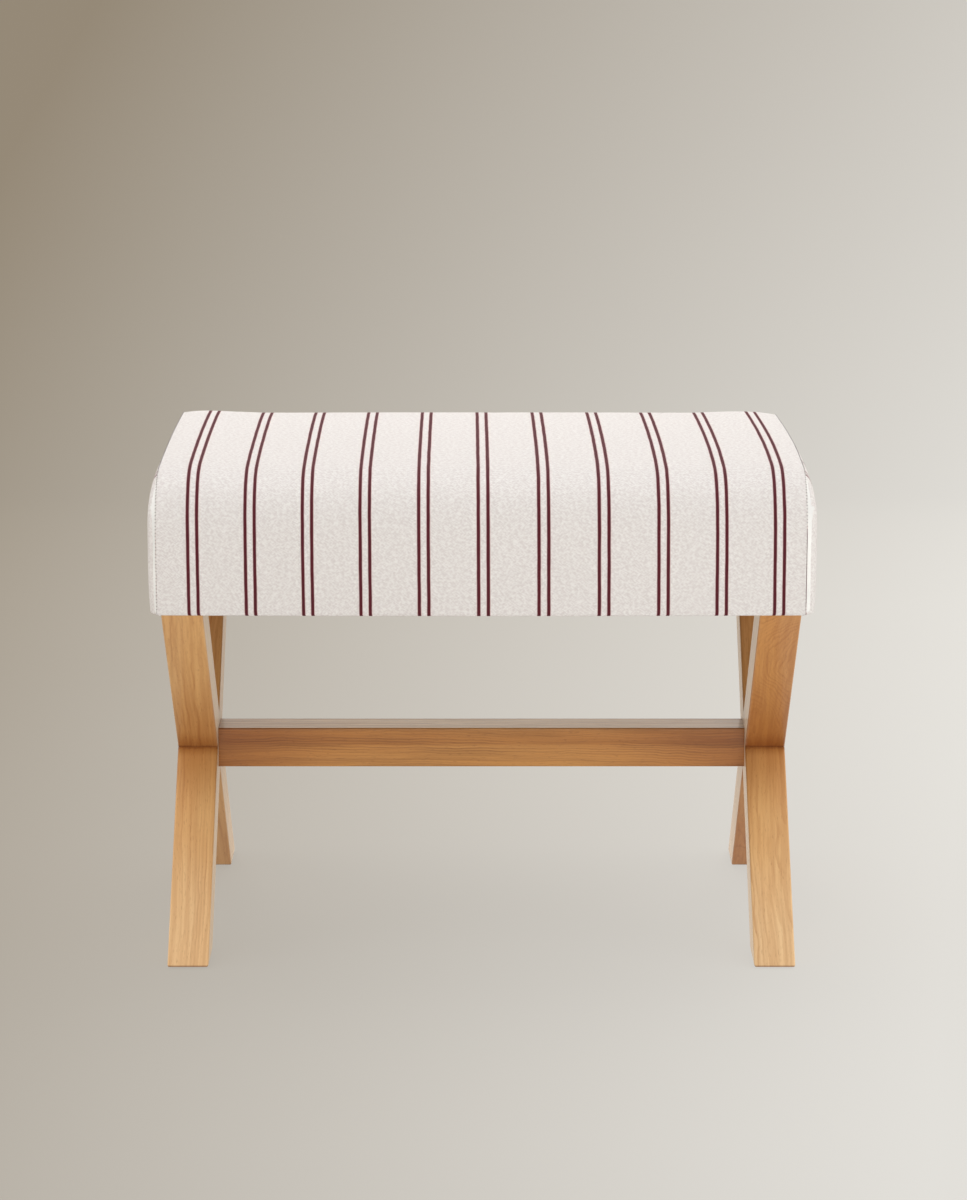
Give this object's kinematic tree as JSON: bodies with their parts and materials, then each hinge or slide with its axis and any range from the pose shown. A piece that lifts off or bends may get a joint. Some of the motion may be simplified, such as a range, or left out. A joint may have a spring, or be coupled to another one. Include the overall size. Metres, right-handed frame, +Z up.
{
  "type": "x frame stool",
  "caption": "Rectangular upholstered stool seat on two crossed-leg wooden side frames joined by a straight stretcher.",
  "frame": {"origin": "centre of the footprint, on the floor", "axes": "+X along the seat's width to the sitter's view of the right, +Y from the front to the back, +Z up"},
  "size_m": [0.6, 0.4, 0.465],
  "materials": {
    "leg_wood": "clear matt lacquer on solid beech, straight grain",
    "stretcher_wood": "clear matt lacquer on solid beech, grain along the rail",
    "striped_cloth": "off-white woven cotton with fine paired burgundy stripes",
    "black_cloth": "black non-woven dust cloth",
    "foam": "open-cell seat foam, hidden",
    "wadding": "white fibre wadding, hidden",
    "rail_wood": "raw planed softwood, hidden",
    "plywood": "raw plywood, hidden",
    "bright_steel": "zinc-plated steel fasteners",
    "black_steel": "black powder-coated steel bar",
    "glide_plastic": "dark brown matt plastic",
    "cap_plastic": "wood-coloured matt plastic"
  },
  "bodies": {
    "root": {"dust_cover": "black_cloth", "left_barrel_nut": "bright_steel", "left_bolt_cap": "cap_plastic", "left_front_bar_screw_1": "bright_steel", "left_front_bar_screw_2": "bright_steel", "left_front_bolt_washer": "bright_steel", "left_front_corner_block": "rail_wood", "left_front_dowel": "rail_wood", "left_front_glide": "glide_plastic", "left_front_insert_nut": "bright_steel", "left_front_seat_bolt": "bright_steel", "left_leg_front_foot": "leg_wood", "left_leg_rear_foot": "leg_wood", "left_mounting_bar": "black_steel", "left_rear_bar_screw_1": "bright_steel", "left_rear_bar_screw_2": "bright_steel", "left_rear_bolt_washer": "bright_steel", "left_rear_corner_block": "rail_wood", "left_rear_dowel": "rail_wood", "left_rear_glide": "glide_plastic", "left_rear_insert_nut": "bright_steel", "left_rear_seat_bolt": "bright_steel", "left_stretcher_bolt": "bright_steel", "right_barrel_nut": "bright_steel", "right_bolt_cap": "cap_plastic", "right_front_bar_screw_1": "bright_steel", "right_front_bar_screw_2": "bright_steel", "right_front_bolt_washer": "bright_steel", "right_front_corner_block": "rail_wood", "right_front_dowel": "rail_wood", "right_front_glide": "glide_plastic", "right_front_insert_nut": "bright_steel", "right_front_seat_bolt": "bright_steel", "right_leg_front_foot": "leg_wood", "right_leg_rear_foot": "leg_wood", "right_mounting_bar": "black_steel", "right_rear_bar_screw_1": "bright_steel", "right_rear_bar_screw_2": "bright_steel", "right_rear_bolt_washer": "bright_steel", "right_rear_corner_block": "rail_wood", "right_rear_dowel": "rail_wood", "right_rear_glide": "glide_plastic", "right_rear_insert_nut": "bright_steel", "right_rear_seat_bolt": "bright_steel", "right_stretcher_bolt": "bright_steel", "seat_cover_left_side": "striped_cloth", "seat_cover_main": "striped_cloth", "seat_cover_right_side": "striped_cloth", "seat_deck": "plywood", "seat_foam": "foam", "seat_front_rail": "rail_wood", "seat_left_rail": "rail_wood", "seat_middle_rail": "rail_wood", "seat_rear_rail": "rail_wood", "seat_right_rail": "rail_wood", "seat_wadding": "wadding", "stretcher": "stretcher_wood"}
  },
  "joints": []
}
